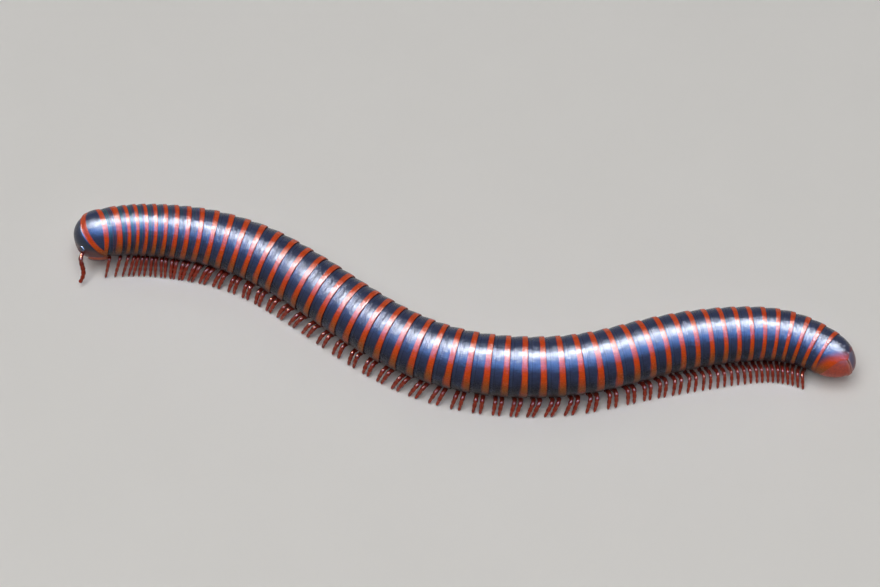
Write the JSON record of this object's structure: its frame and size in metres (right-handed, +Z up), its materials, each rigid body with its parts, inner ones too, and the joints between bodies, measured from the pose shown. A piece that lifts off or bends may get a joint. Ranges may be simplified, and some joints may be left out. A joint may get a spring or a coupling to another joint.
{
  "type": "spirobolid millipede model",
  "caption": "Life-size still model of a cylindrical millipede with banded rings and many short legs, walking in a shallow S-curve on a flat floor.",
  "frame": {"origin": "centre of the footprint's box, on the floor under the feet", "axes": "+X from the head to the tail, +Y away from the camera, +Z up"},
  "size_m": [0.1111, 0.0327, 0.0101],
  "materials": {
    "ring_shell": "glossy slate-blue shell rings, each with an orange rear band",
    "collum_shell": "glossy slate-blue plate with broad orange margins",
    "head_shell": "glossy dark slate head, brown toward the mouth",
    "mouthpart": "satin purplish brown plates",
    "eye": "glossy black cluster of tiny lenses",
    "antenna": "dark red, finely haired",
    "leg": "glossy red, pale at the joints, dark at the claws",
    "tail_shell": "slate blue in front, smooth orange-red behind"
  },
  "bodies": {
    "root": {"head": "head_shell", "eye_left": "eye", "eye_right": "eye", "mandible_left": "mouthpart", "mandible_right": "mouthpart", "antenna_left": "antenna", "antenna_right": "antenna", "collum": "collum_shell", "trunk_1": "ring_shell", "trunk_2": "ring_shell", "trunk_3": "ring_shell", "trunk_4": "ring_shell", "trunk_5": "ring_shell", "trunk_6": "ring_shell", "trunk_7": "ring_shell", "trunk_8": "ring_shell", "preanal_ring": "tail_shell", "anal_valve_left": "tail_shell", "anal_valve_right": "tail_shell"}
  },
  "joints": []
}
